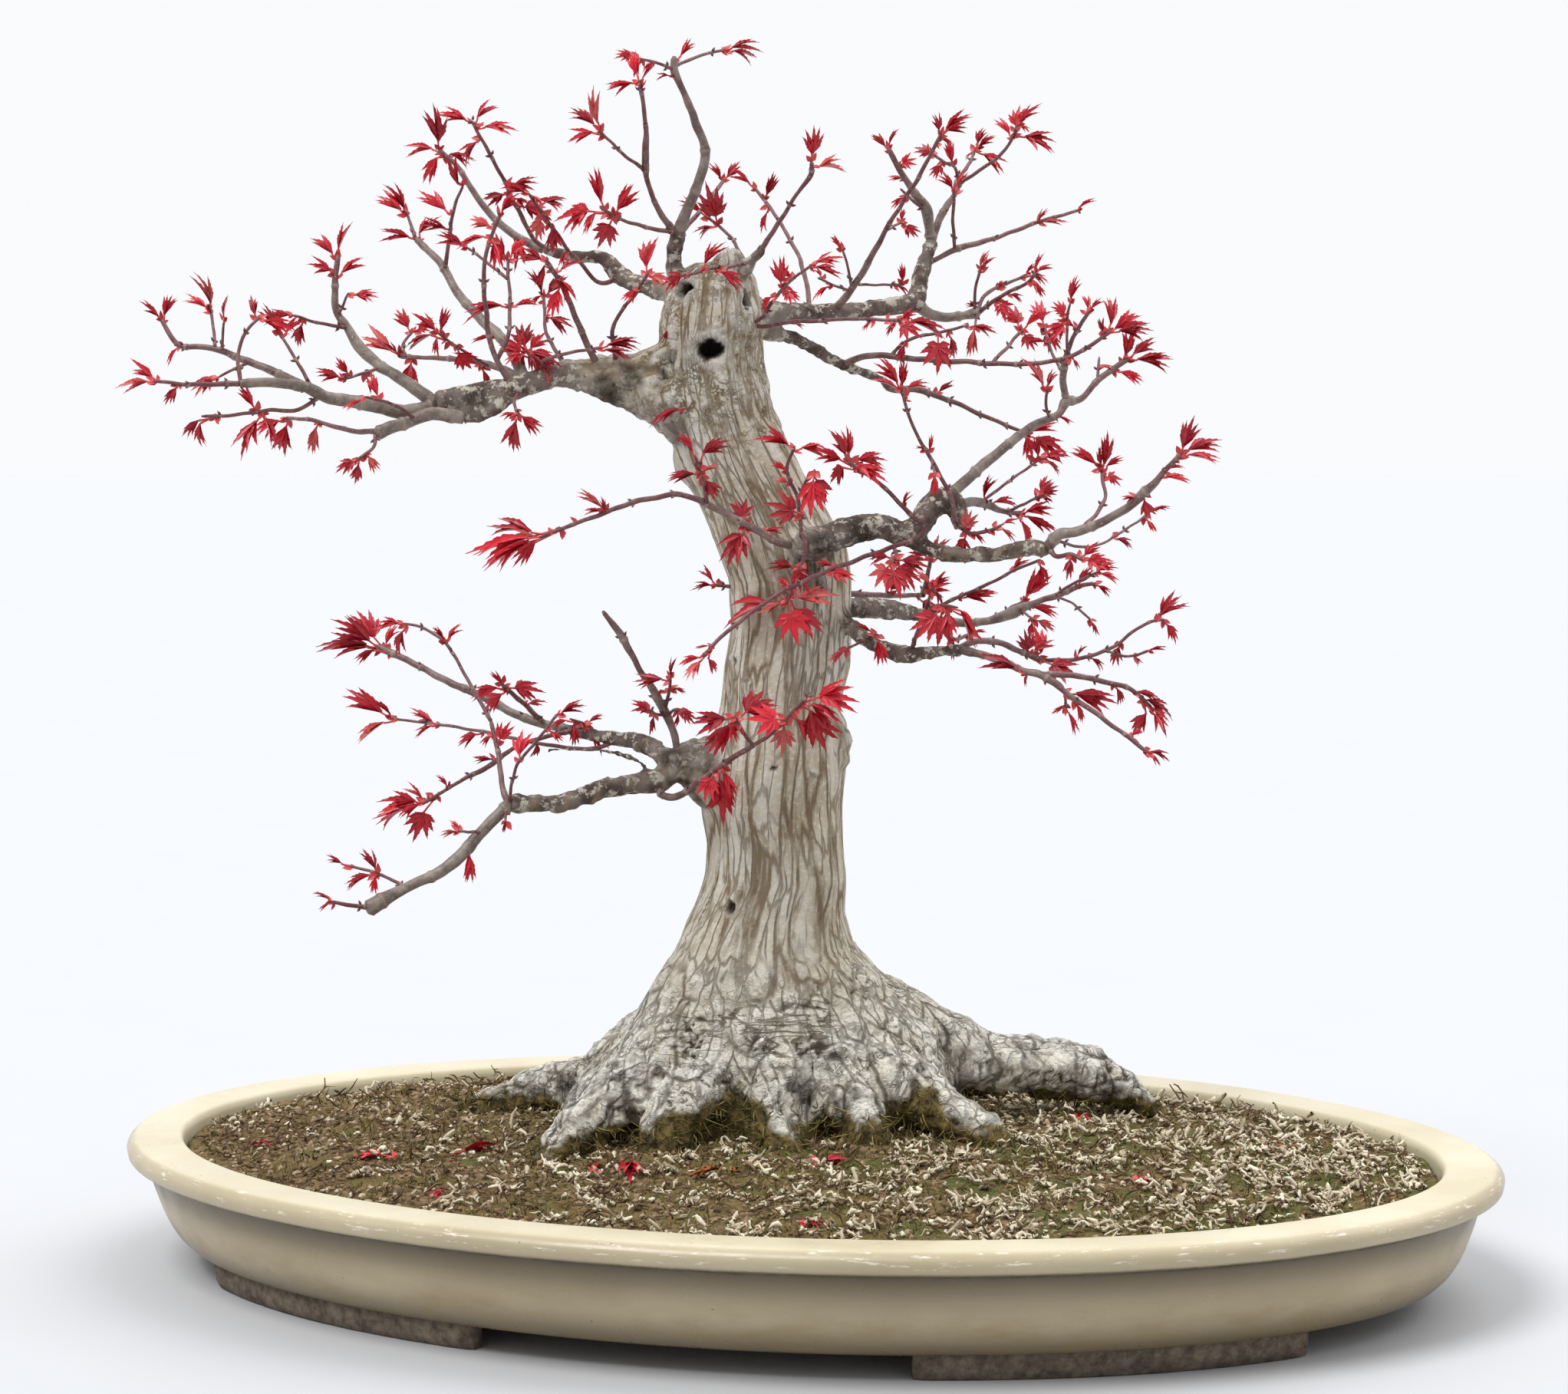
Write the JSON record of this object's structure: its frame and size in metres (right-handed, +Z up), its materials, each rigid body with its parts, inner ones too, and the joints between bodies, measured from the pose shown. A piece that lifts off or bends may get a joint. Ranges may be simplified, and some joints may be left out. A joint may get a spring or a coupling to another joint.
{
  "type": "potted red-leaved maple bonsai",
  "caption": "Deshojo japanese maple bonsai with a flared root base and crimson spring leaves in a shallow oval cream pot.",
  "frame": {"origin": "centre of the pot's footprint, on the surface that its feet stand on", "axes": "+X along the pot's long axis to the right, +Y towards the back, +Z up"},
  "size_m": [0.6, 0.389, 0.5244],
  "materials": {
    "glazed_pot": "satin cream glaze",
    "mesh_screen": "matte",
    "soil_and_moss": "loose and rough",
    "bark": "rough furrowed bark",
    "twigs_and_leaves": "satin"
  },
  "bodies": {
    "root": {"pot": "glazed_pot", "drain_screen_left": "mesh_screen", "drain_screen_right": "mesh_screen", "soil": "soil_and_moss", "trunk": "bark", "spray_left_tip": "twigs_and_leaves", "spray_left_rise": "twigs_and_leaves", "spray_left_b": "twigs_and_leaves", "spray_left_low": "twigs_and_leaves", "spray_left_mid": "twigs_and_leaves", "spray_left_hang": "twigs_and_leaves", "spray_left_near": "twigs_and_leaves", "spray_crown_left_end": "twigs_and_leaves", "spray_crown_left_front": "twigs_and_leaves", "spray_crown_far_left": "twigs_and_leaves", "spray_crown_stub": "twigs_and_leaves", "spray_crown_inner": "twigs_and_leaves", "spray_crown_inner_back": "twigs_and_leaves", "spray_crown_near": "twigs_and_leaves", "spray_crown_cross": "twigs_and_leaves", "spray_crown_sweep": "twigs_and_leaves", "spray_crown_top": "twigs_and_leaves", "spray_crown_second": "twigs_and_leaves", "spray_crown_third": "twigs_and_leaves", "spray_crown_right_high": "twigs_and_leaves", "spray_crown_right_low": "twigs_and_leaves", "spray_crown_front_low": "twigs_and_leaves", "spray_crown_back": "twigs_and_leaves", "spray_crown_leafy": "twigs_and_leaves", "spray_right_top_fork": "twigs_and_leaves", "spray_right_top_brown": "twigs_and_leaves", "spray_right_top_out": "twigs_and_leaves", "spray_right_top_rise": "twigs_and_leaves", "spray_right_top_tip": "twigs_and_leaves", "spray_right_front": "twigs_and_leaves", "spray_right_mid_out": "twigs_and_leaves", "spray_right_mid_rise": "twigs_and_leaves", "spray_right_arm": "twigs_and_leaves", "spray_right_slim": "twigs_and_leaves", "spray_heart_out": "twigs_and_leaves", "spray_heart_long": "twigs_and_leaves", "spray_heart_top": "twigs_and_leaves", "spray_heart_cross": "twigs_and_leaves", "spray_heart_rise": "twigs_and_leaves", "spray_trunk_fork": "twigs_and_leaves", "spray_trunk_across": "twigs_and_leaves", "spray_trunk_bud": "twigs_and_leaves", "spray_back_out": "twigs_and_leaves", "spray_back_fan": "twigs_and_leaves", "spray_back_high": "twigs_and_leaves", "spray_low_right_out": "twigs_and_leaves", "spray_low_right_arch": "twigs_and_leaves", "spray_low_right_hang": "twigs_and_leaves", "spray_low_left_tail": "twigs_and_leaves", "spray_low_left_cross": "twigs_and_leaves", "spray_low_left_arm": "twigs_and_leaves", "spray_low_left_whip": "twigs_and_leaves", "spray_cut_stem": "twigs_and_leaves", "spray_front_arm": "twigs_and_leaves"}
  },
  "joints": []
}
